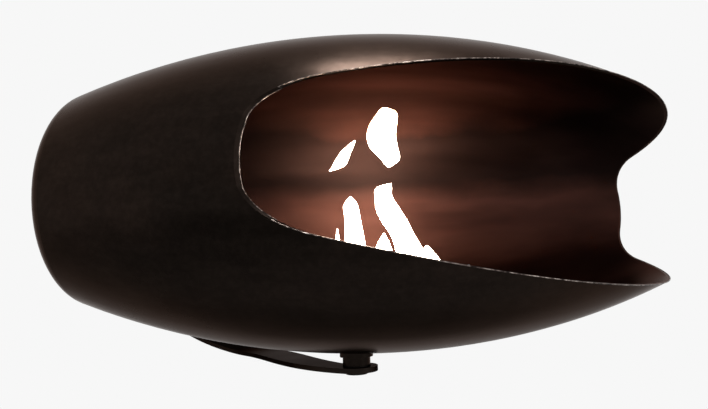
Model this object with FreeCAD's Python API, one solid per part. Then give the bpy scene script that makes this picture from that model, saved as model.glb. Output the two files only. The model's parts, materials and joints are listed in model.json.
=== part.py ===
import FreeCAD, Part
import math
import os

# Wall-hung fireplace: a steel barrel lying on its side, open at one end, swivels on a post at the end
# of a curved arm. An alcohol burner with a sliding damper stands on a hearth plate inside it.
# Millimetres. X runs along the wall, +Y into the wall, +Z up. The origin is the centre of the wall
# plate's back face. Pieces are drawn about the barrel's widest section and then moved to that origin.

V = FreeCAD.Vector
UP = V(0, 0, 1)
ALONG_X = V(1, 0, 0)
ALONG_Y = V(0, 1, 0)
ORIGIN = V(0, 0, 0)
FULL_TURN = 360

# Clearances
OVERRUN = 5.0
WELD_GAP = 0.1
RUN_GAP = 0.05
SLIDE_GAP = 0.3

# Barrel
BARREL_RADIUS = 200.0
SIDE_ARC_RADIUS = 942.0
BLUNT_REACH = 387.0
DOME_RADIUS = 330.0
END_CORNER_RADIUS = 24.0
OPEN_REACH = 430.0
SHELL_WALL = 3.0

# Mouth: a flared prism driven through the open end, seen along its own direction
MOUTH_ANGLE = 29.5
MOUTH_LEAN = -1.9
MOUTH_DEPTH = 93.5
MOUTH_HALF_HEIGHT = 65.5
MOUTH_FLARE = 25.2
MOUTH_CORNER_RADIUS = 54.0

# Swivel post, from the inside of the barrel down
POST_X = -35.0
BACKING_RADIUS = 40.0
BACKING_RISE = 9.0
SPINDLE_RADIUS = 8.0
SPINDLE_HEAD_WIDTH = 24.0
SPINDLE_HEAD_HEIGHT = 8.0
BOSS_RADIUS = 17.0
BOSS_DROP = 13.0
BOSS_FLANGE_RADIUS = 20.5
BOSS_FLANGE_DROP = 3.5
THRUST_WASHER = 1.5
THRUST_WASHER_RADIUS = 17.0
LOWER_WASHER = 1.0
LOWER_WASHER_RADIUS = 15.0
CAP_RADIUS = 14.0
CAP_HEIGHT = 2.5
CAP_EDGE = 1.0
BUSH_WALL = 3.0

# Arm: flat bar that sweeps back and to the left, bends up and ends in a tab against the wall plate
WALL_DISTANCE = 330.0
ARM_SIDE_REACH = 271.0
ARM_THICKNESS = 6.0
ARM_BEND_START = 198.0
ARM_BEND_RADIUS = 223.0
EYE_RADIUS = 26.0
ARM_END_WIDTH = 100.0
TAB_HEIGHT = 90.0
TAB_THICKNESS = 8.0
GUSSET_THICKNESS = 8.0
GUSSET_OFFSET = 34.0
GUSSET_RUN_SHARE = 0.42
GUSSET_HEIGHT = 70.0
GUSSET_TOE = 8.0

# Plan of the arm's two long edges, as shares of its side reach and of its reach from the wall
NEAR_EDGE_SHARES = ((-0.221, 0.052), (-0.413, 0.273), (-0.672, 0.615), (-0.939, 0.818))
FAR_EDGE_SHARES = ((-0.572, 0.758), (-0.362, 0.518), (-0.192, 0.248))

# Wall plate
PLATE_WIDTH = 160.0
PLATE_HEIGHT = 140.0
PLATE_THICKNESS = 10.0
PLATE_CORNER = 10.0
PLATE_ABOVE_ARM = 15.0
WALL_HOLE_RADIUS = 4.5
WALL_HOLE_SPACING_X = 130.0
WALL_HOLE_SPACING_Z = 110.0
TAB_BOLT_RADIUS = 4.0
TAB_BOLT_HEAD_WIDTH = 13.0
TAB_BOLT_HEAD_HEIGHT = 5.5
TAB_BOLT_GRIP = 7.0
TAB_BOLT_SPACING_X = 36.0
TAB_BOLT_SPACING_Z = 40.0

# Hearth plate and its ribs
HEARTH_X = -5.0
HEARTH_DROP = 147.0
HEARTH_MARGIN_X = 20.0
HEARTH_MARGIN_Y = 16.0
HEARTH_THICKNESS = 3.0
HEARTH_CORNER = 20.0
RIB_MARGIN = 20.0
RIB_WEB = 4.0
RIB_FLANGE_WIDTH = 28.0
RIB_FLANGE = 4.0
RIB_INSET = 6.0
HEARTH_SCREW_RADIUS = 2.5
HEARTH_SCREW_HEAD_RADIUS = 4.5
HEARTH_SCREW_HEAD_HEIGHT = 2.5
HEARTH_NUT_WIDTH = 8.0
HEARTH_NUT_HEIGHT = 4.0
HEARTH_SCREW_INSET = 10.0

# Burner
TANK_END_MARGIN = 30.0
TANK_FRONT_MARGIN = 30.0
TANK_BACK_MARGIN = 3.0
TANK_HEIGHT = 36.0
TANK_WALL = 1.5
TANK_CORNER = 14.0
FOOT_RADIUS = 9.0
FOOT_HEIGHT = 4.0
FOOT_INSET = 24.0
STOP_LENGTH = 40.0
STOP_HEIGHT = 14.0
STOP_THICKNESS = 2.0
STOP_FOOT = 12.0
TOP_LIP = 4.0
TOP_THICKNESS = 2.0
SLOT_LENGTH = 200.0
SLOT_WIDTH = 36.0
PAD_HEIGHT = 24.0
PAD_MARGIN = 6.0

# Damper
DAMPER_OVERLAP = 8.0
DAMPER_THICKNESS = 3.0
DAMPER_PARK_GAP = 3.0
DAMPER_CORNER = 4.0
RAIL_WIDTH = 7.0
RAIL_LIP = 4.0
RAIL_LIP_THICKNESS = 2.5
RAIL_SCREW_RADIUS = 1.5
RAIL_SCREW_HEAD_RADIUS = 2.8
RAIL_SCREW_HEAD_HEIGHT = 1.6
RAIL_SCREW_INSET = 9.0
KNOB_RADIUS = 10.0
KNOB_HEIGHT = 16.0
KNOB_NECK_RADIUS = 5.0
KNOB_NECK_HEIGHT = 6.0
KNOB_EDGE = 2.5

# Lift handles: straps bent into loops on the tank's two end walls
HANDLE_SPAN = 64.0
HANDLE_REACH = 26.0
HANDLE_WIDTH = 12.0
HANDLE_STRIP = 2.5
HANDLE_BEND = 8.0
HANDLE_FOOT = 10.0
HANDLE_DROP = 4.0

# Levels and places that follow from the sizes above
SHELL_BOTTOM = -BARREL_RADIUS
INNER_BOTTOM = SHELL_BOTTOM + SHELL_WALL
BACKING_TOP = INNER_BOTTOM + BACKING_RISE
BOSS_BOTTOM = SHELL_BOTTOM - BOSS_DROP
ARM_TOP = BOSS_BOTTOM - THRUST_WASHER
ARM_BOTTOM = ARM_TOP - ARM_THICKNESS
CAP_TOP = ARM_BOTTOM - LOWER_WASHER
CAP_BOTTOM = CAP_TOP - CAP_HEIGHT
ARM_BEND_CENTRE = ARM_TOP + ARM_BEND_RADIUS
WALL_Y = WALL_DISTANCE
PLATE_FACE_Y = WALL_Y - PLATE_THICKNESS
TAB_FACE_Y = PLATE_FACE_Y - TAB_THICKNESS
ARM_END_X = POST_X - ARM_SIDE_REACH
ARM_BEND_OUTSIDE = ARM_BEND_RADIUS + ARM_THICKNESS
ARM_END_BOTTOM = ARM_BEND_CENTRE - math.sqrt(ARM_BEND_OUTSIDE ** 2 - (PLATE_FACE_Y - ARM_BEND_START) ** 2)
PLATE_BOTTOM = ARM_END_BOTTOM + PLATE_ABOVE_ARM
PLATE_CENTRE = V(ARM_END_X, WALL_Y, PLATE_BOTTOM + PLATE_HEIGHT / 2)
TAB_TOP = ARM_END_BOTTOM + TAB_HEIGHT
TAB_BOLT_Z = (PLATE_BOTTOM + TAB_TOP) / 2
BUSH_RADIUS = SPINDLE_RADIUS + RUN_GAP + BUSH_WALL
HEARTH_TOP = -HEARTH_DROP
HEARTH_UNDER = HEARTH_TOP - HEARTH_THICKNESS
TANK_BOTTOM = HEARTH_TOP + FOOT_HEIGHT
TANK_TOP = TANK_BOTTOM + TANK_HEIGHT
TOP_FACE = TANK_TOP + TOP_THICKNESS
SLOT_Y = 0.0
DAMPER_LENGTH = SLOT_LENGTH + 2 * DAMPER_OVERLAP
DAMPER_WIDTH = SLOT_WIDTH + 2 * DAMPER_OVERLAP
DAMPER_Y = SLOT_Y + (SLOT_WIDTH + DAMPER_WIDTH) / 2 + DAMPER_PARK_GAP
TANK_FRONT = SLOT_Y - SLOT_WIDTH / 2 - TANK_FRONT_MARGIN
TANK_BACK = DAMPER_Y + DAMPER_WIDTH / 2 + TANK_BACK_MARGIN
TANK_WIDTH = TANK_BACK - TANK_FRONT
TANK_LENGTH = SLOT_LENGTH + 2 * TANK_END_MARGIN
HEARTH_Y = (TANK_FRONT + TANK_BACK) / 2
HEARTH_LENGTH = TANK_LENGTH + 2 * HEARTH_MARGIN_X
HEARTH_WIDTH = TANK_WIDTH + 2 * HEARTH_MARGIN_Y
RIB_SPACING = TANK_LENGTH - 2 * RIB_MARGIN
DAMPER_BOTTOM = TOP_FACE + WELD_GAP
DAMPER_TOP = DAMPER_BOTTOM + DAMPER_THICKNESS


def box(x0, x1, y0, y1, z0, z1):
    return Part.makeBox(x1 - x0, y1 - y0, z1 - z0, V(x0, y0, z0))


def rod(radius, x, y, z0, z1):
    return Part.makeCylinder(radius, z1 - z0, V(x, y, z0))


def centred_box(x, y, length, width, z0, z1):
    return box(x - length / 2, x + length / 2, y - width / 2, y + width / 2, z0, z1)


def rounded_block(x, y, length, width, z0, z1, corner):
    """Upright block with its four vertical edges rounded."""
    block = centred_box(x, y, length, width, z0, z1)
    upright = [e for e in block.Edges if abs(e.BoundBox.ZLength - (z1 - z0)) < WELD_GAP]
    return block.makeFillet(corner, upright)


def hexagon(width, x, y, z0, z1):
    """Upright hexagonal prism, width across flats."""
    corner = width / math.sqrt(3)
    turns = [math.radians(60 * i) for i in range(7)]
    points = [V(x + corner * math.cos(a), y + corner * math.sin(a), z0) for a in turns]
    return Part.Face(Part.makePolygon(points)).extrude(UP * (z1 - z0))


def on_circle(centre, radius, angle):
    return centre + V(radius * math.cos(angle), 0, radius * math.sin(angle))


def meridian_arc(centre, radius, start, end):
    middle = (start + end) / 2
    points = [on_circle(centre, radius, a) for a in (start, middle, end)]
    return Part.Arc(*points).toShape()


def barrel(inset):
    """Solid barrel, its skin moved inwards by inset: side arc, corner arc and domed blunt end."""
    side = V(0, 0, BARREL_RADIUS - SIDE_ARC_RADIUS)
    dome = V(DOME_RADIUS - BLUNT_REACH, 0, 0)
    side_gap = SIDE_ARC_RADIUS - END_CORNER_RADIUS
    dome_gap = DOME_RADIUS - END_CORNER_RADIUS
    between = dome - side
    base = between.Length
    along = (side_gap ** 2 - dome_gap ** 2 + base ** 2) / (2 * base)
    rise = math.sqrt(side_gap ** 2 - along ** 2)
    line = between * (1 / base)
    corner = side + line * along + V(-line.z, 0, line.x) * rise
    side_angle = math.atan2(corner.z - side.z, corner.x - side.x)
    dome_angle = math.atan2(corner.z - dome.z, corner.x - dome.x)
    side_radius = SIDE_ARC_RADIUS - inset
    open_angle = math.acos(OPEN_REACH / side_radius)
    edges = [
        meridian_arc(dome, DOME_RADIUS - inset, math.pi, dome_angle),
        meridian_arc(corner, END_CORNER_RADIUS - inset, dome_angle, side_angle),
        meridian_arc(side, side_radius, side_angle, open_angle),
    ]
    blunt = V(inset - BLUNT_REACH, 0, 0)
    rim = on_circle(side, side_radius, open_angle)
    foot = V(rim.x, 0, 0)
    edges.append(Part.makeLine(rim, foot))
    edges.append(Part.makeLine(foot, blunt))
    solid = Part.Face(Part.Wire(edges)).revolve(ORIGIN, ALONG_X, FULL_TURN)
    # The seam of the skin lies underneath
    solid.rotate(ORIGIN, ALONG_X, FULL_TURN / 2)
    return solid


def mouth_cutter():
    """Flared prism with a flat back and rounded inner corners, wider than the barrel is long."""
    angle = math.radians(MOUTH_ANGLE)
    lean = math.radians(MOUTH_LEAN)
    flare = math.radians(MOUTH_FLARE)
    sweep = BLUNT_REACH + OPEN_REACH
    across = V(math.sin(angle), -math.cos(angle), 0)
    path = V(math.cos(angle), math.sin(angle), math.tan(lean))
    tangent = MOUTH_CORNER_RADIUS * math.tan((math.pi / 2 - flare) / 2)
    far = OPEN_REACH + BARREL_RADIUS
    far_z = MOUTH_HALF_HEIGHT + (far - MOUTH_DEPTH) * math.tan(flare)

    def at(s, z):
        return across * s + UP * z - path * sweep

    def corner_points(sign):
        centre_s = MOUTH_DEPTH + MOUTH_CORNER_RADIUS
        centre_z = MOUTH_HALF_HEIGHT - tangent
        turns = (math.pi, math.pi - (math.pi / 2 - flare) / 2, math.pi / 2 + flare)
        return [
            at(centre_s + MOUTH_CORNER_RADIUS * math.cos(a),
               sign * (centre_z + MOUTH_CORNER_RADIUS * math.sin(a)))
            for a in turns
        ]

    upper = corner_points(1)
    lower = corner_points(-1)
    edges = [
        Part.makeLine(lower[0], upper[0]),
        Part.Arc(*upper).toShape(),
        Part.makeLine(upper[2], at(far, far_z)),
        Part.makeLine(at(far, far_z), at(far, -far_z)),
        Part.makeLine(at(far, -far_z), lower[2]),
        Part.Arc(*reversed(lower)).toShape(),
    ]
    return Part.Face(Part.Wire(edges)).extrude(path * (2 * sweep))


def shell():
    skin = barrel(0).cut(barrel(SHELL_WALL)).cut(mouth_cutter())
    hole = rod(SPINDLE_RADIUS + RUN_GAP, POST_X, 0, SHELL_BOTTOM - OVERRUN, BACKING_TOP)
    return skin.cut(hole)


def spindle_hole(z0, z1):
    return rod(SPINDLE_RADIUS + RUN_GAP, POST_X, 0, z0 - OVERRUN, z1 + OVERRUN)


def backing_plate():
    disc = rod(BACKING_RADIUS, POST_X, 0, SHELL_BOTTOM, BACKING_TOP)
    return disc.common(barrel(SHELL_WALL + WELD_GAP)).cut(spindle_hole(SHELL_BOTTOM, BACKING_TOP))


def pivot_boss():
    post = rod(BOSS_RADIUS, POST_X, 0, BOSS_BOTTOM, INNER_BOTTOM)
    flange = rod(BOSS_FLANGE_RADIUS, POST_X, 0, SHELL_BOTTOM - BOSS_FLANGE_DROP, INNER_BOTTOM)
    body = post.fuse(flange).removeSplitter().cut(barrel(-WELD_GAP))
    return body.cut(spindle_hole(BOSS_BOTTOM, INNER_BOTTOM))


def pivot_spindle():
    head = hexagon(SPINDLE_HEAD_WIDTH, POST_X, 0, BACKING_TOP, BACKING_TOP + SPINDLE_HEAD_HEIGHT)
    return head.fuse(rod(SPINDLE_RADIUS, POST_X, 0, CAP_BOTTOM + CAP_EDGE, BACKING_TOP)).removeSplitter()


def ring(radius, z0, z1):
    return rod(radius, POST_X, 0, z0, z1).cut(spindle_hole(z0, z1))


def spindle_cap():
    """Low cup nut that closes the spindle from below."""
    cap = rod(CAP_RADIUS, POST_X, 0, CAP_BOTTOM, CAP_TOP)
    lower = [e for e in cap.Edges if e.BoundBox.ZMax < CAP_BOTTOM + WELD_GAP]
    cap = cap.makeChamfer(CAP_EDGE - WELD_GAP, lower)
    return cap.cut(rod(SPINDLE_RADIUS + RUN_GAP, POST_X, 0, CAP_BOTTOM + CAP_EDGE, CAP_TOP + OVERRUN))


def arm_plan():
    """Outline of the flat bar: round eye, long curved edges and a straight end at the wall plate."""
    level = ARM_BOTTOM - OVERRUN

    def places(shares):
        return [V(POST_X + a * ARM_SIDE_REACH, b * WALL_DISTANCE, level) for a, b in shares]

    def on_eye(degrees):
        turn = math.radians(degrees)
        return V(POST_X + EYE_RADIUS * math.cos(turn), EYE_RADIUS * math.sin(turn), level)

    near_start = on_eye(250)
    far_start = on_eye(125)
    near_end = V(ARM_END_X - ARM_END_WIDTH / 2, PLATE_FACE_Y, level)
    far_end = V(ARM_END_X + ARM_END_WIDTH / 2, PLATE_FACE_Y, level)
    near = Part.BSplineCurve()
    near.interpolate([near_start, *places(NEAR_EDGE_SHARES), near_end])
    far = Part.BSplineCurve()
    far.interpolate([far_end, *places(FAR_EDGE_SHARES), far_start])
    eye = Part.Arc(far_start, on_eye(7.5), near_start)
    edges = [near.toShape(), Part.makeLine(near_end, far_end), far.toShape(), eye.toShape()]
    return Part.Face(Part.Wire(edges))


def bend_point(radius, y, x=0):
    """Point of the arm's upward bend at depth y."""
    return V(x, y, ARM_BEND_CENTRE - math.sqrt(radius ** 2 - (y - ARM_BEND_START) ** 2))


def bend_arc(radius, y0, y1, x=0):
    points = [bend_point(radius, y, x) for y in (y0, (y0 + y1) / 2, y1)]
    return Part.Arc(*points).toShape()


def rolled_slab():
    """Level plate that bends up towards the wall, wide enough for the arm's plan."""
    x0 = ARM_END_X - ARM_END_WIDTH
    x1 = POST_X + EYE_RADIUS + OVERRUN
    front = -EYE_RADIUS - OVERRUN
    low = bend_point(ARM_BEND_OUTSIDE, ARM_BEND_START, x0)
    high = bend_point(ARM_BEND_RADIUS, ARM_BEND_START, x0)
    low_end = bend_point(ARM_BEND_OUTSIDE, PLATE_FACE_Y, x0)
    high_end = bend_point(ARM_BEND_RADIUS, PLATE_FACE_Y, x0)
    front_low = V(x0, front, ARM_BOTTOM)
    front_high = V(x0, front, ARM_TOP)
    edges = [
        Part.makeLine(front_low, low),
        bend_arc(ARM_BEND_OUTSIDE, ARM_BEND_START, PLATE_FACE_Y, x0),
        Part.makeLine(low_end, high_end),
        bend_arc(ARM_BEND_RADIUS, PLATE_FACE_Y, ARM_BEND_START, x0),
        Part.makeLine(high, front_high),
        Part.makeLine(front_high, front_low),
    ]
    return Part.Face(Part.Wire(edges)).extrude(ALONG_X * (x1 - x0))


def support_arm():
    bar = arm_plan().extrude(UP * (TAB_TOP - ARM_BOTTOM)).common(rolled_slab())
    tab = box(ARM_END_X - ARM_END_WIDTH / 2, ARM_END_X + ARM_END_WIDTH / 2,
              TAB_FACE_Y, PLATE_FACE_Y, ARM_END_BOTTOM, TAB_TOP)
    arm = bar.fuse(tab).removeSplitter()
    arm = arm.cut(rod(BUSH_RADIUS + RUN_GAP, POST_X, 0, ARM_BOTTOM - OVERRUN, ARM_TOP + OVERRUN))
    for x, z in tab_bolt_places():
        arm = arm.cut(wall_rod(TAB_BOLT_RADIUS + RUN_GAP, x, z, TAB_FACE_Y - OVERRUN, PLATE_FACE_Y + OVERRUN))
    return arm


def wall_rod(radius, x, z, y0, y1):
    return Part.makeCylinder(radius, y1 - y0, V(x, y0, z), ALONG_Y)


def tab_bolt_places():
    return [
        (ARM_END_X + i * TAB_BOLT_SPACING_X / 2, TAB_BOLT_Z + j * TAB_BOLT_SPACING_Z / 2)
        for i in (-1, 1) for j in (-1, 1)
    ]


def arm_gusset():
    """Upright web in the corner between the bent bar and the tab, with blunt toes."""
    x = ARM_END_X + GUSSET_OFFSET - GUSSET_THICKNESS / 2
    toe_y = TAB_FACE_Y - GUSSET_RUN_SHARE * (TAB_FACE_Y - ARM_BEND_START)
    heel = bend_point(ARM_BEND_RADIUS, TAB_FACE_Y, x)
    toe = bend_point(ARM_BEND_RADIUS, toe_y, x)
    top = heel + UP * GUSSET_HEIGHT
    corners = [heel, top, top - ALONG_Y * GUSSET_TOE, toe + UP * GUSSET_TOE, toe]
    edges = [Part.makeLine(a, b) for a, b in zip(corners, corners[1:])]
    edges.append(bend_arc(ARM_BEND_RADIUS, toe_y, TAB_FACE_Y, x))
    return Part.Face(Part.Wire(edges)).extrude(ALONG_X * GUSSET_THICKNESS)


def wall_plate():
    plate = box(ARM_END_X - PLATE_WIDTH / 2, ARM_END_X + PLATE_WIDTH / 2, PLATE_FACE_Y, WALL_Y,
                PLATE_BOTTOM, PLATE_BOTTOM + PLATE_HEIGHT)
    through = [e for e in plate.Edges if abs(e.BoundBox.YLength - PLATE_THICKNESS) < WELD_GAP]
    plate = plate.makeFillet(PLATE_CORNER, through)
    for i in (-1, 1):
        for j in (-1, 1):
            x = PLATE_CENTRE.x + i * WALL_HOLE_SPACING_X / 2
            z = PLATE_CENTRE.z + j * WALL_HOLE_SPACING_Z / 2
            plate = plate.cut(wall_rod(WALL_HOLE_RADIUS, x, z, PLATE_FACE_Y - OVERRUN, WALL_Y + OVERRUN))
    for x, z in tab_bolt_places():
        tapped = PLATE_FACE_Y + TAB_BOLT_GRIP + SLIDE_GAP
        plate = plate.cut(wall_rod(TAB_BOLT_RADIUS + RUN_GAP, x, z, PLATE_FACE_Y - OVERRUN, tapped))
    return plate


def tab_bolts():
    bolts = []
    for x, z in tab_bolt_places():
        bolt = hexagon(TAB_BOLT_HEAD_WIDTH, 0, 0, 0, TAB_BOLT_HEAD_HEIGHT)
        bolt = bolt.fuse(rod(TAB_BOLT_RADIUS, 0, 0, -TAB_THICKNESS - TAB_BOLT_GRIP, 0)).removeSplitter()
        bolt.rotate(ORIGIN, ALONG_X, 90)
        bolt.translate(V(x, TAB_FACE_Y, z))
        bolts.append(bolt)
    return Part.makeCompound(bolts)


def hearth_screw_places():
    reach = HEARTH_WIDTH / 2 - HEARTH_SCREW_INSET
    offset = RIB_SPACING / 2 + (RIB_FLANGE_WIDTH + RIB_WEB) / 4
    return [(HEARTH_X + i * offset, HEARTH_Y + j * reach) for i in (-1, 1) for j in (-1, 1)]


def hearth_rib(side):
    """Cross rib: a web that follows the barrel's inside and a flange that carries the hearth plate."""
    x = HEARTH_X + side * RIB_SPACING / 2
    width = HEARTH_WIDTH - 2 * RIB_INSET
    flange_bottom = HEARTH_UNDER - RIB_FLANGE
    web = centred_box(x, HEARTH_Y, RIB_WEB, width, SHELL_BOTTOM, flange_bottom)
    flange = centred_box(x, HEARTH_Y, RIB_FLANGE_WIDTH, width, flange_bottom, HEARTH_UNDER)
    rib = web.fuse(flange).removeSplitter().common(barrel(SHELL_WALL + WELD_GAP))
    for px, py in hearth_screw_places():
        rib = rib.cut(rod(HEARTH_SCREW_RADIUS + RUN_GAP, px, py, flange_bottom - OVERRUN, HEARTH_TOP))
    return rib


def hearth_plate():
    plate = rounded_block(HEARTH_X, HEARTH_Y, HEARTH_LENGTH, HEARTH_WIDTH, HEARTH_UNDER, HEARTH_TOP,
                          HEARTH_CORNER)
    for x, y in hearth_screw_places():
        plate = plate.cut(rod(HEARTH_SCREW_RADIUS + RUN_GAP, x, y, HEARTH_UNDER - OVERRUN, HEARTH_TOP + OVERRUN))
    return plate


def hearth_screws():
    nut_bottom = HEARTH_UNDER - RIB_FLANGE - HEARTH_NUT_HEIGHT
    screws = []
    for x, y in hearth_screw_places():
        head = rod(HEARTH_SCREW_HEAD_RADIUS, x, y, HEARTH_TOP, HEARTH_TOP + HEARTH_SCREW_HEAD_HEIGHT)
        screws.append(head.fuse(rod(HEARTH_SCREW_RADIUS, x, y, nut_bottom, HEARTH_TOP)).removeSplitter())
    return Part.makeCompound(screws)


def hearth_nuts():
    top = HEARTH_UNDER - RIB_FLANGE
    bottom = top - HEARTH_NUT_HEIGHT
    nuts = []
    for x, y in hearth_screw_places():
        hole = rod(HEARTH_SCREW_RADIUS + RUN_GAP, x, y, bottom - OVERRUN, top + OVERRUN)
        nuts.append(hexagon(HEARTH_NUT_WIDTH, x, y, bottom, top).cut(hole))
    return Part.makeCompound(nuts)


def burner_stops():
    """Two small angles on the hearth plate that keep the burner from sliding along it."""
    stops = []
    for side in (-1, 1):
        face = HEARTH_X + side * (TANK_LENGTH / 2 + SLIDE_GAP)
        back = face + side * STOP_THICKNESS
        toe = face + side * STOP_FOOT
        points = [(face, 0), (toe, 0), (toe, STOP_THICKNESS), (back, STOP_THICKNESS), (back, STOP_HEIGHT),
                  (face, STOP_HEIGHT)]
        corners = [V(x, HEARTH_Y - STOP_LENGTH / 2, HEARTH_TOP + z) for x, z in points]
        outline = Part.makePolygon([*corners, corners[0]])
        stops.append(Part.Face(outline).extrude(ALONG_Y * STOP_LENGTH))
    return Part.makeCompound(stops)


def burner_feet():
    reach_x = TANK_LENGTH / 2 - FOOT_INSET
    reach_y = TANK_WIDTH / 2 - FOOT_INSET
    feet = [
        rod(FOOT_RADIUS, HEARTH_X + i * reach_x, HEARTH_Y + j * reach_y, HEARTH_TOP, TANK_BOTTOM)
        for i in (-1, 1) for j in (-1, 1)
    ]
    return Part.makeCompound(feet)


def burner_tank():
    outside = rounded_block(HEARTH_X, HEARTH_Y, TANK_LENGTH, TANK_WIDTH, TANK_BOTTOM, TANK_TOP, TANK_CORNER)
    inside = rounded_block(HEARTH_X, HEARTH_Y, TANK_LENGTH - 2 * TANK_WALL, TANK_WIDTH - 2 * TANK_WALL,
                           TANK_BOTTOM + TANK_WALL, TANK_TOP + OVERRUN, TANK_CORNER - TANK_WALL)
    return outside.cut(inside)


def fibre_pad():
    margin = 2 * (TANK_WALL + PAD_MARGIN)
    bottom = TANK_BOTTOM + TANK_WALL
    return rounded_block(HEARTH_X, HEARTH_Y, TANK_LENGTH - margin, TANK_WIDTH - margin, bottom,
                         bottom + PAD_HEIGHT, TANK_CORNER - TANK_WALL - PAD_MARGIN)


def rail_screw_places():
    x = DAMPER_LENGTH / 2 + SLIDE_GAP + RAIL_WIDTH / 2
    front, back = rail_ends()
    return [
        (HEARTH_X + side * x, y)
        for side in (-1, 1) for y in (front + RAIL_SCREW_INSET, back - RAIL_SCREW_INSET)
    ]


def rail_ends():
    front = SLOT_Y - DAMPER_WIDTH / 2
    back = HEARTH_Y + TANK_WIDTH / 2
    return front, back


def burner_top():
    """Lid of the tank with the fire slot."""
    lid = rounded_block(HEARTH_X, HEARTH_Y, TANK_LENGTH + 2 * TOP_LIP, TANK_WIDTH + 2 * TOP_LIP, TANK_TOP,
                        TOP_FACE, TANK_CORNER + TOP_LIP)
    slot = rounded_block(HEARTH_X, SLOT_Y, SLOT_LENGTH, SLOT_WIDTH, TANK_TOP - OVERRUN, TOP_FACE + OVERRUN,
                         DAMPER_CORNER)
    lid = lid.cut(slot)
    for x, y in rail_screw_places():
        lid = lid.cut(rod(RAIL_SCREW_RADIUS + RUN_GAP, x, y, TANK_TOP - OVERRUN, TOP_FACE + OVERRUN))
    return lid


def damper_rails():
    """Two strips beside the damper, each with a lip over the damper's end."""
    front, back = rail_ends()
    under = DAMPER_TOP + SLIDE_GAP
    top = under + RAIL_LIP_THICKNESS
    rails = []
    for side in (-1, 1):
        inner = DAMPER_LENGTH / 2 + SLIDE_GAP
        xs = sorted(HEARTH_X + side * v for v in (inner, inner + RAIL_WIDTH))
        lip_xs = sorted(HEARTH_X + side * v for v in (inner - RAIL_LIP, inner + RAIL_WIDTH))
        rail = box(*xs, front, back, TOP_FACE, under).fuse(box(*lip_xs, front, back, under, top))
        rails.append(rail.removeSplitter())
    group = Part.makeCompound(rails)
    for x, y in rail_screw_places():
        group = group.cut(rod(RAIL_SCREW_RADIUS + RUN_GAP, x, y, TOP_FACE - OVERRUN, top + OVERRUN))
    return group


def rail_screws():
    top = DAMPER_TOP + SLIDE_GAP + RAIL_LIP_THICKNESS
    screws = []
    for x, y in rail_screw_places():
        head = rod(RAIL_SCREW_HEAD_RADIUS, x, y, top, top + RAIL_SCREW_HEAD_HEIGHT)
        screws.append(head.fuse(rod(RAIL_SCREW_RADIUS, x, y, TANK_TOP, top)).removeSplitter())
    return Part.makeCompound(screws)


def damper_plate():
    return rounded_block(HEARTH_X, DAMPER_Y, DAMPER_LENGTH, DAMPER_WIDTH, DAMPER_BOTTOM, DAMPER_TOP,
                         DAMPER_CORNER)


def damper_knob():
    neck = rod(KNOB_NECK_RADIUS, HEARTH_X, DAMPER_Y, DAMPER_TOP, DAMPER_TOP + KNOB_NECK_HEIGHT + KNOB_EDGE)
    grip = rod(KNOB_RADIUS, HEARTH_X, DAMPER_Y, DAMPER_TOP + KNOB_NECK_HEIGHT, DAMPER_TOP + KNOB_HEIGHT)
    rims = [e for e in grip.Edges if e.BoundBox.ZLength < WELD_GAP]
    return grip.makeFillet(KNOB_EDGE, rims).fuse(neck).removeSplitter()


def lift_handle(side):
    """Strap bent into a level loop, with feet turned outwards on the tank's end wall."""
    wall = HEARTH_X + side * TANK_LENGTH / 2
    half = HANDLE_SPAN / 2
    inner_half = half - HANDLE_STRIP
    z1 = TANK_TOP - HANDLE_DROP
    z0 = z1 - HANDLE_WIDTH
    xs = sorted((wall, wall + side * HANDLE_REACH))
    hollow_xs = sorted((wall - side * OVERRUN, wall + side * (HANDLE_REACH - HANDLE_STRIP)))
    loop = round_outer(box(*xs, HEARTH_Y - half, HEARTH_Y + half, z0, z1), side, HANDLE_BEND)
    hollow = box(*hollow_xs, HEARTH_Y - inner_half, HEARTH_Y + inner_half, z0 - OVERRUN, z1 + OVERRUN)
    handle = loop.cut(round_outer(hollow, side, HANDLE_BEND - HANDLE_STRIP))
    foot_xs = sorted((wall, wall + side * HANDLE_STRIP))
    for end in (-1, 1):
        ys = sorted(HEARTH_Y + end * v for v in (inner_half, half + HANDLE_FOOT))
        handle = handle.fuse(box(*foot_xs, *ys, z0, z1))
    return handle.removeSplitter()


def round_outer(block, side, radius):
    """Round a block's two upright edges that lie furthest out along X on the given side."""
    upright = [e for e in block.Edges if e.BoundBox.ZLength > WELD_GAP]
    reach = max(side * e.BoundBox.Center.x for e in upright)
    outer = [e for e in upright if side * e.BoundBox.Center.x > reach - WELD_GAP]
    return block.makeFillet(radius, outer)


def lift_handles():
    return Part.makeCompound([lift_handle(side) for side in (-1, 1)])


def pieces():
    yield "wall_plate", wall_plate()
    yield "tab_bolts", tab_bolts()
    yield "support_arm", support_arm()
    yield "arm_gusset", arm_gusset()
    bush = rod(BUSH_RADIUS, POST_X, 0, ARM_BOTTOM, ARM_TOP)
    yield "eye_bush", bush.cut(spindle_hole(ARM_BOTTOM, ARM_TOP))
    yield "thrust_washer", ring(THRUST_WASHER_RADIUS, ARM_TOP, BOSS_BOTTOM)
    yield "lower_washer", ring(LOWER_WASHER_RADIUS, CAP_TOP, ARM_BOTTOM)
    yield "shell", shell()
    yield "backing_plate", backing_plate()
    yield "pivot_boss", pivot_boss()
    yield "pivot_spindle", pivot_spindle()
    yield "spindle_cap", spindle_cap()
    yield "hearth_rib_left", hearth_rib(-1)
    yield "hearth_rib_right", hearth_rib(1)
    yield "hearth_plate", hearth_plate()
    yield "hearth_screws", hearth_screws()
    yield "hearth_nuts", hearth_nuts()
    yield "burner_stops", burner_stops()
    yield "burner_feet", burner_feet()
    yield "burner_tank", burner_tank()
    yield "fibre_pad", fibre_pad()
    yield "burner_top", burner_top()
    yield "damper_rails", damper_rails()
    yield "rail_screws", rail_screws()
    yield "damper_plate", damper_plate()
    yield "damper_knob", damper_knob()
    yield "lift_handles", lift_handles()


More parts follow.
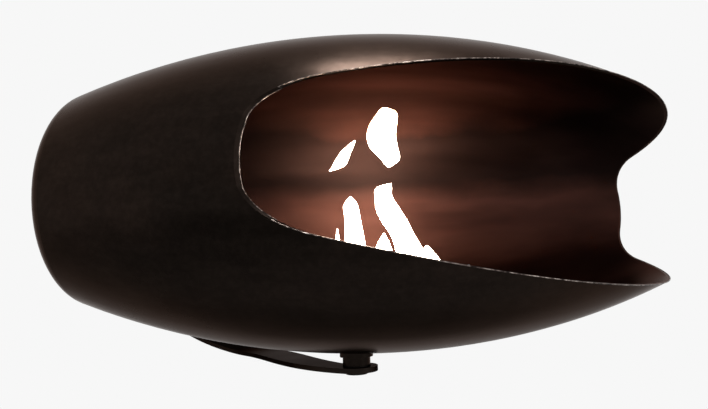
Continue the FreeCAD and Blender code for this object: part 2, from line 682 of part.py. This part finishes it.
os.makedirs("parts", exist_ok=True)
for name, shape in pieces():
    shape.translate(-PLATE_CENTRE)
    shape.exportStep("parts/" + name + ".step")
    solids = shape.Solids
    print(name, len(solids), round(sum(s.Volume for s in solids)), shape.isValid(), shape.BoundBox)
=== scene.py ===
import json
import math
import bpy
import bmesh
from mathutils import Matrix, Vector


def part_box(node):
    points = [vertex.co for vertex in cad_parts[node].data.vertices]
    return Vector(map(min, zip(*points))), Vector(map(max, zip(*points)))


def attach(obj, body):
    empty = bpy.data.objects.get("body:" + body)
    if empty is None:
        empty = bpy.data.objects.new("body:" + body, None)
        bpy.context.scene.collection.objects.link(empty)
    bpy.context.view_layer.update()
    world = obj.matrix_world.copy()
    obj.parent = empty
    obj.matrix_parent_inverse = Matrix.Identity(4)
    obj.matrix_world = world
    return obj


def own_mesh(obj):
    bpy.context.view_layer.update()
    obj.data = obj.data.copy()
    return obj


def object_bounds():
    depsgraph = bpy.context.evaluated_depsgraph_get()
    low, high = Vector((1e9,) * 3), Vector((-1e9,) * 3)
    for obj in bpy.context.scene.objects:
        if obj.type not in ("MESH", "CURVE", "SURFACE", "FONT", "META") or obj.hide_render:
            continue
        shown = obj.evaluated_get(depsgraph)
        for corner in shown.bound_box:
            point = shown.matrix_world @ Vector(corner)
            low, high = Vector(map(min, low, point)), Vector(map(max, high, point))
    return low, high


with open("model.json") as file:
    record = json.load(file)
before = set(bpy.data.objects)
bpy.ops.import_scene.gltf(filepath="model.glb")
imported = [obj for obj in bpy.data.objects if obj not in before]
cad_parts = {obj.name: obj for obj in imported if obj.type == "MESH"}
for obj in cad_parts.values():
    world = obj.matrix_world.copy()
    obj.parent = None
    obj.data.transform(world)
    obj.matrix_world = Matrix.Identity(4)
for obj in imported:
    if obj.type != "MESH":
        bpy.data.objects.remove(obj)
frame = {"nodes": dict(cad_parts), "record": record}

# Looks of the wall-hung barrel fireplace. Metres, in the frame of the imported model.
CAD_LOW, CAD_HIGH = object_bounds()
NODES = frame["nodes"]
SLOTS = {part["node"]: part["material_slot"] for part in frame["record"]["subparts"]}

# The barrel's axis lies level, at the middle height of the shell, above the swivel
SHELL_LOW, SHELL_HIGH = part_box("shell")
BOSS_LOW, BOSS_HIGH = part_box("pivot_boss")
BOSS_CENTRE = (BOSS_LOW + BOSS_HIGH) / 2
POST_BEHIND_WAIST = 0.035
BARREL = Vector((BOSS_CENTRE.x + POST_BEHIND_WAIST, BOSS_CENTRE.y, (SHELL_LOW.z + SHELL_HIGH.z) / 2))


def add_object(name, data):
    item = bpy.data.objects.new(name, data)
    bpy.context.scene.collection.objects.link(item)
    return item


# Camera: below the barrel, close to it, looking slightly up

IMAGE_WIDTH = 708
IMAGE_HEIGHT = 409
FOCAL_PIXELS = 479.4
CENTRE_PIXEL_X = 379.3
CENTRE_PIXEL_Y = 193.5
CAMERA_DISTANCE = 0.6327
CAMERA_YAW = math.radians(-3.505)
CAMERA_ELEVATION = math.radians(-11.522)
CAMERA_ROLL = math.radians(-1.974)
CAMERA_CLIP_START = 0.01


def make_camera():
    flat = math.cos(CAMERA_ELEVATION)
    back = Vector((math.sin(CAMERA_YAW) * flat, -math.cos(CAMERA_YAW) * flat, math.sin(CAMERA_ELEVATION)))
    right = Vector((math.cos(CAMERA_YAW), math.sin(CAMERA_YAW), 0))
    up = back.cross(right)
    rolled_right = right * math.cos(CAMERA_ROLL) + up * math.sin(CAMERA_ROLL)
    rolled_up = up * math.cos(CAMERA_ROLL) - right * math.sin(CAMERA_ROLL)
    data = bpy.data.cameras.new("camera")
    data.sensor_fit = "HORIZONTAL"
    data.lens = FOCAL_PIXELS * data.sensor_width / IMAGE_WIDTH
    data.shift_x = (IMAGE_WIDTH / 2 - CENTRE_PIXEL_X) / IMAGE_WIDTH
    data.shift_y = (CENTRE_PIXEL_Y - IMAGE_HEIGHT / 2) / IMAGE_WIDTH
    data.clip_start = CAMERA_CLIP_START
    camera = add_object("camera", data)
    camera.matrix_world = Matrix((rolled_right, rolled_up, back)).transposed().to_4x4()
    camera.location = BARREL + back * CAMERA_DISTANCE
    bpy.context.scene.camera = camera


# Node helpers

def new_material(name):
    material = bpy.data.materials.new(name)
    material.use_nodes = True
    nodes = material.node_tree.nodes
    shader = nodes["Principled BSDF"]
    return material, nodes, material.node_tree.links, shader


def add_node(nodes, kind, **values):
    node = nodes.new(kind)
    for key, value in values.items():
        setattr(node, key, value)
    return node


def noise(nodes, links, vector, scale, detail=4.0, roughness=0.55):
    texture = nodes.new("ShaderNodeTexNoise")
    texture.inputs["Scale"].default_value = scale
    texture.inputs["Detail"].default_value = detail
    texture.inputs["Roughness"].default_value = roughness
    links.new(vector, texture.inputs["Vector"])
    return texture.outputs["Fac"]


def ramp(nodes, links, factor, stops):
    """Colour ramp; stops are (place, colour) pairs, and a colour may be one grey value."""
    node = nodes.new("ShaderNodeValToRGB")
    elements = node.color_ramp.elements
    while len(elements) < len(stops):
        elements.new(0.5)
    for element, (place, colour) in zip(elements, stops):
        element.position = place
        rgb = (colour,) * 3 if isinstance(colour, (int, float)) else colour
        element.color = (*rgb, 1)
    links.new(factor, node.inputs["Fac"])
    return node.outputs["Color"]


def math_node(nodes, links, operation, first, second=None, third=None):
    node = add_node(nodes, "ShaderNodeMath", operation=operation)
    for socket, value in zip(node.inputs, (first, second, third)):
        if value is None:
            continue
        if isinstance(value, (int, float)):
            socket.default_value = value
        else:
            links.new(value, socket)
    return node.outputs["Value"]


def share_between(nodes, links, value, low, high):
    """Share of the way from low to high, from 0 to 1."""
    node = nodes.new("ShaderNodeMapRange")
    node.inputs["From Min"].default_value = low
    node.inputs["From Max"].default_value = high
    links.new(value, node.inputs["Value"])
    return node.outputs["Result"]


def vector_node(nodes, links, operation, first, second=None, output="Vector"):
    node = add_node(nodes, "ShaderNodeVectorMath", operation=operation)
    for socket, value in zip(node.inputs, (first, second)):
        if value is None:
            continue
        if isinstance(value, (tuple, Vector)):
            socket.default_value = value
        else:
            links.new(value, socket)
    return node.outputs[output]


def mix_colour(nodes, links, factor, first, second, blend="MIX"):
    node = add_node(nodes, "ShaderNodeMix", data_type="RGBA", blend_type=blend)
    for name, value in (("Factor", factor), ("A", first), ("B", second)):
        kind = "VALUE" if name == "Factor" else "RGBA"
        socket = [s for s in node.inputs if s.name == name and s.type == kind][0]
        if isinstance(value, (int, float, tuple)):
            socket.default_value = value
        else:
            links.new(value, socket)
    return [s for s in node.outputs if s.type == "RGBA"][0]


def bump(nodes, links, shader, height, strength, distance):
    node = nodes.new("ShaderNodeBump")
    node.inputs["Strength"].default_value = strength
    node.inputs["Distance"].default_value = distance
    links.new(height, node.inputs["Height"])
    links.new(node.outputs["Normal"], shader.inputs["Normal"])


def stretched(nodes, links, vector, scale):
    return vector_node(nodes, links, "MULTIPLY", vector, Vector(scale))


# Materials

# Outer skin: the normal runs more than this along the barrel's radius; inner skin: as much against it
SKIN_FACING = 0.45
# Heights above the barrel's axis between which the inner skin's height bands run (a little brighter low
# down, a darker band above the axis, and a painted glow of the flames near the top), and how far the clouds
# shift them
INNER_BAND_LOW = -0.2
INNER_BAND_HIGH = 0.225
INNER_BAND_WANDER = 0.05


def shell_material():
    """Browned satin steel outside, red-brown heat-coloured steel inside, darker in a band above the axis and
    brighter near the top in a painted glow of the flames.
    """
    material, nodes, links, shader = new_material("shell_steel")
    coords = nodes.new("ShaderNodeTexCoord")
    place = coords.outputs["Object"]
    centred = vector_node(nodes, links, "SUBTRACT", place, BARREL)
    radial = vector_node(nodes, links, "MULTIPLY", centred, Vector((0, 1, 1)))
    radial = vector_node(nodes, links, "NORMALIZE", radial)
    facing = vector_node(nodes, links, "DOT_PRODUCT", coords.outputs["Normal"], radial, "Value")
    inside = math_node(nodes, links, "LESS_THAN", facing, -SKIN_FACING)

    cloud = noise(nodes, links, place, 7.0, 5.0, 0.6)
    grain = noise(nodes, links, place, 160.0, 6.0, 0.7)
    drawn = noise(nodes, links, stretched(nodes, links, place, (3.0, 60.0, 60.0)), 1.0, 5.0, 0.65)
    outer = ramp(nodes, links, cloud, ((0.3, (0.0080, 0.0060, 0.0049)), (0.5, (0.0115, 0.0083, 0.0067)),
                                       (0.72, (0.0165, 0.0110, 0.0086))))
    streaks = ramp(nodes, links, drawn, ((0.35, 0.3), (0.65, 1.0)))
    outer = mix_colour(nodes, links, 0.3, outer, streaks, "MULTIPLY")
    speck = ramp(nodes, links, grain, ((0.42, 0.75), (0.62, 1.25)))
    outer = mix_colour(nodes, links, 0.5, outer, speck, "MULTIPLY")

    bands = noise(nodes, links, stretched(nodes, links, place, (1.4, 16.0, 16.0)), 1.0, 3.0, 0.5)
    inner = ramp(nodes, links, bands, ((0.32, (0.018, 0.0078, 0.0060)), (0.55, (0.031, 0.0125, 0.0095)),
                                       (0.7, (0.046, 0.019, 0.0145))))
    split = nodes.new("ShaderNodeSeparateXYZ")
    links.new(centred, split.inputs["Vector"])
    # Inside: a little brighter low down, darker in a band above the axis, and up to about three times
    # brighter near the top, where the flames' glow is painted into the colour
    wander = math_node(nodes, links, "MULTIPLY_ADD", cloud, INNER_BAND_WANDER, split.outputs["Z"])
    glow_and_dark_band = ramp(nodes, links, share_between(nodes, links, wander, INNER_BAND_LOW, INNER_BAND_HIGH),
                ((0.0, (1.32, 1.29, 1.26)), (0.58, (1.19, 1.19, 1.19)), (0.66, (0.36, 0.48, 0.54)),
                 (0.82, (0.40, 0.51, 0.58)), (0.90, (2.05, 1.87, 1.82)), (1.0, (3.3, 3.06, 2.98))))
    inner = mix_colour(nodes, links, 1.0, inner, glow_and_dark_band, "MULTIPLY")
    links.new(mix_colour(nodes, links, inside, outer, inner), shader.inputs["Base Color"])
    shader.inputs["Metallic"].default_value = 1.0
    shader.inputs["Specular Tint"].default_value = (0.65, 0.585, 0.56, 1)
    outer_rough = math_node(nodes, links, "MULTIPLY_ADD", cloud, 0.12, 0.225)
    inner_rough = math_node(nodes, links, "MULTIPLY_ADD", bands, 0.14, 0.32)
    rough = add_node(nodes, "ShaderNodeMix", data_type="FLOAT")
    links.new(inside, rough.inputs["Factor"])
    links.new(outer_rough, rough.inputs["A"])
    links.new(inner_rough, rough.inputs["B"])
    links.new(rough.outputs["Result"], shader.inputs["Roughness"])
    bump(nodes, links, shader, grain, 0.06, 0.0006)
    return material


PAINT_GRAIN_SCALE = 220.0


def paint_material(name, dark, light, roughness):
    """Satin heat paint with a fine orange-peel grain and cloudy wear."""
    material, nodes, links, shader = new_material(name)
    place = nodes.new("ShaderNodeTexCoord").outputs["Object"]
    cloud = noise(nodes, links, place, 14.0, 5.0, 0.6)
    grain = noise(nodes, links, place, PAINT_GRAIN_SCALE, 4.0, 0.6)
    links.new(ramp(nodes, links, cloud, ((0.3, dark), (0.7, light))), shader.inputs["Base Color"])
    rough = math_node(nodes, links, "MULTIPLY_ADD", cloud, 0.2, roughness - 0.1)
    links.new(rough, shader.inputs["Roughness"])
    shader.inputs["Metallic"].default_value = 1.0
    shader.inputs["Specular Tint"].default_value = (0.3, 0.25, 0.23, 1)
    bump(nodes, links, shader, grain, 0.15, 0.0004)
    return material


def metal_material(name, dark, light, roughness, stretch):
    """Brushed or turned bare metal; stretch sets the brushing's direction."""
    material, nodes, links, shader = new_material(name)
    place = nodes.new("ShaderNodeTexCoord").outputs["Object"]
    lines = noise(nodes, links, stretched(nodes, links, place, stretch), 1.0, 6.0, 0.7)
    stain = noise(nodes, links, place, 18.0, 4.0, 0.6)
    colour = ramp(nodes, links, lines, ((0.3, dark), (0.7, light)))
    smoke = ramp(nodes, links, stain, ((0.3, 0.72), (0.65, 1.0)))
    links.new(mix_colour(nodes, links, 0.7, colour, smoke, "MULTIPLY"), shader.inputs["Base Color"])
    shader.inputs["Metallic"].default_value = 1.0
    rough = math_node(nodes, links, "MULTIPLY_ADD", lines, 0.25, roughness - 0.12)
    links.new(rough, shader.inputs["Roughness"])
    bump(nodes, links, shader, lines, 0.08, 0.0003)
    return material


def ceramic_material(name, dark, light, scale, strength):
    """Pale dry ceramic; scale sets how fine its grain is and strength how deep."""
    material, nodes, links, shader = new_material(name)
    place = nodes.new("ShaderNodeTexCoord").outputs["Object"]
    fluff = noise(nodes, links, place, scale, 6.0, 0.7)
    links.new(ramp(nodes, links, fluff, ((0.3, dark), (0.7, light))), shader.inputs["Base Color"])
    shader.inputs["Roughness"].default_value = 0.85
    bump(nodes, links, shader, fluff, strength, 0.002)
    return material


FLAME_STRENGTH = 44.0


def flame_material(base, top):
    """Burning vapour: orange at the root and the tip, white-hot between them."""
    material, nodes, links, shader = new_material("flame")
    place = nodes.new("ShaderNodeTexCoord").outputs["Object"]
    split = nodes.new("ShaderNodeSeparateXYZ")
    links.new(place, split.inputs["Vector"])
    height = share_between(nodes, links, split.outputs["Z"], base, top)
    flicker = noise(nodes, links, place, 30.0, 2.0, 0.5)
    level = math_node(nodes, links, "MULTIPLY_ADD", flicker, 0.3, height)
    colour = ramp(nodes, links, level, ((0.0, (1.0, 0.55, 0.25)), (0.3, (1.0, 0.86, 0.7)),
                                        (0.9, (1.0, 0.88, 0.74)), (1.0, (1.0, 0.7, 0.42))))
    links.new(colour, shader.inputs["Emission Color"])
    links.new(colour, shader.inputs["Base Color"])
    shader.inputs["Emission Strength"].default_value = FLAME_STRENGTH
    shader.inputs["Roughness"].default_value = 1.0
    shader.inputs["Specular IOR Level"].default_value = 0.0
    return material


MATERIALS = {
    "shell_paint": shell_material(),
    "bracket_paint": paint_material("bracket_paint", (0.011, 0.0082, 0.0068), (0.022, 0.0165, 0.0138), 0.45),
    "fastener_steel": metal_material("fastener_steel", (0.18, 0.18, 0.185), (0.42, 0.42, 0.43), 0.38,
                                     (400.0, 400.0, 60.0)),
    "bearing_bronze": metal_material("bearing_bronze", (0.30, 0.19, 0.08), (0.55, 0.38, 0.18), 0.35,
                                     (90.0, 90.0, 700.0)),
    "black_steel": paint_material("black_steel", (0.008, 0.0065, 0.006), (0.016, 0.013, 0.012), 0.4),
    "hearth_steel": paint_material("hearth_paint", (0.016, 0.014, 0.013), (0.034, 0.029, 0.026), 0.6),
    "burner_steel": metal_material("burner_steel", (0.34, 0.33, 0.32), (0.6, 0.59, 0.57), 0.34,
                                   (12.0, 600.0, 600.0)),
    "foot_ceramic": ceramic_material("foot_ceramic", (0.66, 0.63, 0.56), (0.82, 0.8, 0.75), 120.0, 0.1),
    "fibre": ceramic_material("fibre", (0.6, 0.57, 0.52), (0.86, 0.84, 0.8), 240.0, 0.6),
    "knob_steel": metal_material("knob_steel", (0.12, 0.12, 0.125), (0.3, 0.3, 0.31), 0.3,
                                 (80.0, 80.0, 500.0)),
}


def dress_nodes():
    for name, node in NODES.items():
        node.data.materials.clear()
        node.data.materials.append(MATERIALS[SLOTS[name]])


# Lip: the mouth's cut edge is ground bare, and a thin bright bead follows it, added to carry the edge's
# glint, partly a painted highlight

BEAD_RADIUS = 0.00055
SAME_POINT = 0.00001
# The mouth's edge runs at least this far along the barrel
MOUTH_EDGE_REACH = 0.2


def lip_loops(mesh):
    """Chains of points along the edges between the shell's outer skin and its cut faces."""
    def skin(face):
        centre = face.calc_center_median() - BARREL
        centre.x = 0
        return face.normal.dot(centre.normalized()) > SKIN_FACING

    near = {}
    for edge in mesh.edges:
        if len(edge.link_faces) == 2 and skin(edge.link_faces[0]) != skin(edge.link_faces[1]):
            a, b = edge.verts
            near.setdefault(a.index, []).append(b.index)
            near.setdefault(b.index, []).append(a.index)
    mesh.verts.ensure_lookup_table()
    left = set(near)
    loops = []
    while left:
        index = min(left)
        chain = []
        while index is not None:
            chain.append(mesh.verts[index].co.copy())
            left.discard(index)
            index = next((n for n in near[index] if n in left), None)
        loops.append(chain)
    return loops


def ground_steel_and_glint_material():
    """Ground steel, bright in dots and dark between them; the bright dots are a painted highlight for the
    glint along the lip.
    """
    material, nodes, links, shader = new_material("ground_lip_and_painted_glint")
    place = nodes.new("ShaderNodeTexCoord").outputs["Object"]
    dots = noise(nodes, links, place, 140.0, 3.0, 0.7)
    # Bright dots: a painted highlight standing in for the dotted glint along the lip's edge
    colour = ramp(nodes, links, dots, ((0.42, (0.012, 0.009, 0.008)), (0.52, (0.11, 0.085, 0.075)),
                                       (0.66, (0.36, 0.31, 0.28))))
    links.new(colour, shader.inputs["Base Color"])
    shader.inputs["Metallic"].default_value = 1.0
    shader.inputs["Roughness"].default_value = 0.35
    return material


# The bead is an added piece along the lip's edge that carries its glint
def make_bead():
    mesh = bmesh.new()
    mesh.from_mesh(NODES["shell"].data)
    bmesh.ops.transform(mesh, matrix=NODES["shell"].matrix_world, verts=mesh.verts[:])
    bmesh.ops.remove_doubles(mesh, verts=mesh.verts[:], dist=SAME_POINT)
    mesh.normal_update()
    mesh.verts.index_update()
    loops = lip_loops(mesh)
    mesh.free()
    # Only the mouth's loop runs far along the barrel; the others ring the blunt end and the post's hole
    loops = [c for c in loops if max(p.x for p in c) - min(p.x for p in c) > MOUTH_EDGE_REACH]
    curve = bpy.data.curves.new("lip_glint_bead", "CURVE")
    curve.dimensions = "3D"
    curve.bevel_depth = BEAD_RADIUS
    curve.bevel_resolution = 2
    for chain in loops:
        spline = curve.splines.new("POLY")
        spline.points.add(len(chain) - 1)
        for point, place in zip(spline.points, chain):
            point.co = (*place, 1)
        spline.use_cyclic_u = True
    source = add_object("lip_glint_bead_line", curve)
    bpy.context.view_layer.update()
    data = bpy.data.meshes.new_from_object(source.evaluated_get(bpy.context.evaluated_depsgraph_get()))
    bpy.data.objects.remove(source)
    bead = add_object("lip_glint_bead", data)
    data.materials.clear()
    data.materials.append(ground_steel_and_glint_material())
    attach(bead, "shell")


# Flames: tongues of burning vapour that stand in the fire slot, and two loose ones above them

LID_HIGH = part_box("burner_top")[1]
FLAME_SINK = 0.004
FLAME_BASE = LID_HIGH.z - FLAME_SINK
FLAME_HEIGHT = 0.24
FLAME_SIDES = 20
FLAME_DEPTH_SHARE = 0.55
LEAST_FLAME_RADIUS = 0.0004
RINGS_PER_POINT = 6
LOBE_SHARE = 0.07
LOBE_COUNT = 3
LOBE_TWIST = 1.7


def tongue(points, widths):
    """Ring-lofted tongue along a bent centre line; widths are the radii across at the line's points."""
    mesh = bmesh.new()
    rings = []
    count = len(points)

    def smooth(values, t):
        """Catmull-Rom value at t, counted in points."""
        i = min(int(t), count - 2)
        u = t - i
        p = [values[max(0, min(count - 1, i + k))] for k in (-1, 0, 1, 2)]
        return 0.5 * ((2 * p[1]) + (p[2] - p[0]) * u + (2 * p[0] - 5 * p[1] + 4 * p[2] - p[3]) * u * u
                      + (3 * p[1] - p[0] - 3 * p[2] + p[3]) * u ** 3)

    for step in range((count - 1) * RINGS_PER_POINT + 1):
        t = step / RINGS_PER_POINT
        centre = Vector((smooth([p[0] for p in points], t), 0.0, smooth([p[1] for p in points], t)))
        radius = max(smooth(widths, t), LEAST_FLAME_RADIUS)
        ring = []
        for k in range(FLAME_SIDES):
            turn = 2 * math.pi * k / FLAME_SIDES
            lobe = 1 + LOBE_SHARE * math.sin(LOBE_COUNT * turn + LOBE_TWIST * t)
            offset = Vector((math.cos(turn) * lobe, FLAME_DEPTH_SHARE * math.sin(turn) * lobe, 0)) * radius
            ring.append(mesh.verts.new(centre + offset))
        rings.append(ring)
    for low, high in zip(rings, rings[1:]):
        for k in range(FLAME_SIDES):
            n = (k + 1) % FLAME_SIDES
            mesh.faces.new((low[k], low[n], high[n], high[k]))
    mesh.faces.new(list(reversed(rings[0])))
    mesh.faces.new(rings[-1])
    return mesh


# Each tongue: name, depth behind the barrel's axis, and (x, height above FLAME_BASE, radius) along its line
TONGUES = (
    ("flame_left", -0.002, ((-0.033, 0.000, 0.015), (-0.034, 0.040, 0.013), (-0.036, 0.076, 0.010),
                            (-0.0375, 0.094, 0.009), (-0.038, 0.105, 0.001))),
    ("flame_sliver", 0.006, ((-0.0555, 0.000, 0.006), (-0.056, 0.030, 0.005), (-0.056, 0.064, 0.0005))),
    ("flame_centre", 0.003, ((0.040, 0.000, 0.020), (0.036, 0.032, 0.018), (0.028, 0.055, 0.015),
                             (0.020, 0.072, 0.017), (0.010, 0.090, 0.015), (0.005, 0.105, 0.0115),
                             (0.007, 0.117, 0.010), (0.016, 0.123, 0.001))),
    ("flame_low", -0.006, ((0.002, 0.000, 0.012), (0.002, 0.034, 0.0105), (0.004, 0.055, 0.001))),
    ("flame_puff", 0.003, ((0.014, 0.146, 0.002), (0.016, 0.156, 0.012), (0.009, 0.172, 0.018),
                           (0.007, 0.190, 0.0195), (0.009, 0.208, 0.018), (0.014, 0.222, 0.013),
                           (0.012, 0.229, 0.004))),
    ("flame_petal", 0.000, ((-0.064, 0.141, 0.001), (-0.054, 0.147, 0.0075), (-0.048, 0.156, 0.008),
                            (-0.041, 0.169, 0.006), (-0.031, 0.182, 0.001))),
    ("flame_right", 0.000, ((0.060, 0.000, 0.020), (0.059, 0.020, 0.0155), (0.0595, 0.0385, 0.001))),
)


def make_flames():
    material = flame_material(FLAME_BASE, FLAME_BASE + FLAME_HEIGHT)
    for name, depth, line in TONGUES:
        mesh = tongue([(p[0], p[1]) for p in line], [p[2] for p in line])
        bmesh.ops.recalc_face_normals(mesh, faces=mesh.faces[:])
        data = bpy.data.meshes.new(name)
        mesh.to_mesh(data)
        mesh.free()
        for polygon in data.polygons:
            polygon.use_smooth = True
        data.transform(Matrix.Translation((BARREL.x, BARREL.y + depth, FLAME_BASE)))
        piece = add_object(name, data)
        data.materials.append(material)
        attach(piece, "burner")
        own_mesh(piece)


# Stage, light and world

FLOOR_DROP = 0.75
FLOOR_RADIUS = 2.9
FLOOR_SIDES = 96
# Strength of the world where it is seen or mirrored, and where it only lights the object
BACKGROUND = 0.93
SOFT_LIGHT = 0.45
KEY_OFFSET = (0.04, -0.34, 1.1)
KEY_SIZE = (0.45, 0.15)
KEY_POWER = 27.0
FILL_OFFSET = (1.4, -1.0, 0.2)
FILL_SIZE = (0.8, 0.8)
FILL_POWER = 6.0


def make_floor():
    mesh = bmesh.new()
    bmesh.ops.create_circle(mesh, cap_ends=True, segments=FLOOR_SIDES, radius=FLOOR_RADIUS)
    data = bpy.data.meshes.new("floor")
    mesh.to_mesh(data)
    mesh.free()
    floor = add_object("floor", data)
    floor.location = (BARREL.x, BARREL.y, CAD_LOW.z - FLOOR_DROP)
    material, nodes, links, shader = new_material("floor")
    place = nodes.new("ShaderNodeTexCoord").outputs["Object"]
    colour = ramp(nodes, links, noise(nodes, links, place, 3.0), ((0.3, 0.82), (0.7, 0.85)))
    links.new(colour, shader.inputs["Base Color"])
    shader.inputs["Roughness"].default_value = 0.9
    data.materials.append(material)


def area_light(name, place, target, size, power):
    data = bpy.data.lights.new(name, "AREA")
    data.shape = "RECTANGLE"
    data.size, data.size_y = size
    data.energy = power
    light = add_object(name, data)
    light.location = place
    light.rotation_euler = (target - place).to_track_quat("-Z", "Y").to_euler()


def make_world():
    world = bpy.data.worlds.new("studio")
    bpy.context.scene.world = world
    world.use_nodes = True
    nodes = world.node_tree.nodes
    links = world.node_tree.links
    background = nodes["Background"]
    path = nodes.new("ShaderNodeLightPath")
    seen = math_node(nodes, links, "MAXIMUM", path.outputs["Is Camera Ray"], path.outputs["Is Glossy Ray"])
    seen = math_node(nodes, links, "MAXIMUM", seen, path.outputs["Is Transmission Ray"])
    level = add_node(nodes, "ShaderNodeMapRange")
    level.inputs["To Min"].default_value = SOFT_LIGHT
    level.inputs["To Max"].default_value = BACKGROUND
    links.new(seen, level.inputs["Value"])
    links.new(level.outputs["Result"], background.inputs["Strength"])
    background.inputs["Color"].default_value = (1, 1, 1, 1)


def make_lights():
    area_light("key", BARREL + Vector(KEY_OFFSET), BARREL, KEY_SIZE, KEY_POWER)
    area_light("fill", BARREL + Vector(FILL_OFFSET), BARREL, FILL_SIZE, FILL_POWER)


make_camera()
dress_nodes()
make_bead()
make_flames()
make_floor()
make_world()
make_lights()
bpy.context.scene.view_settings.view_transform = "Standard"
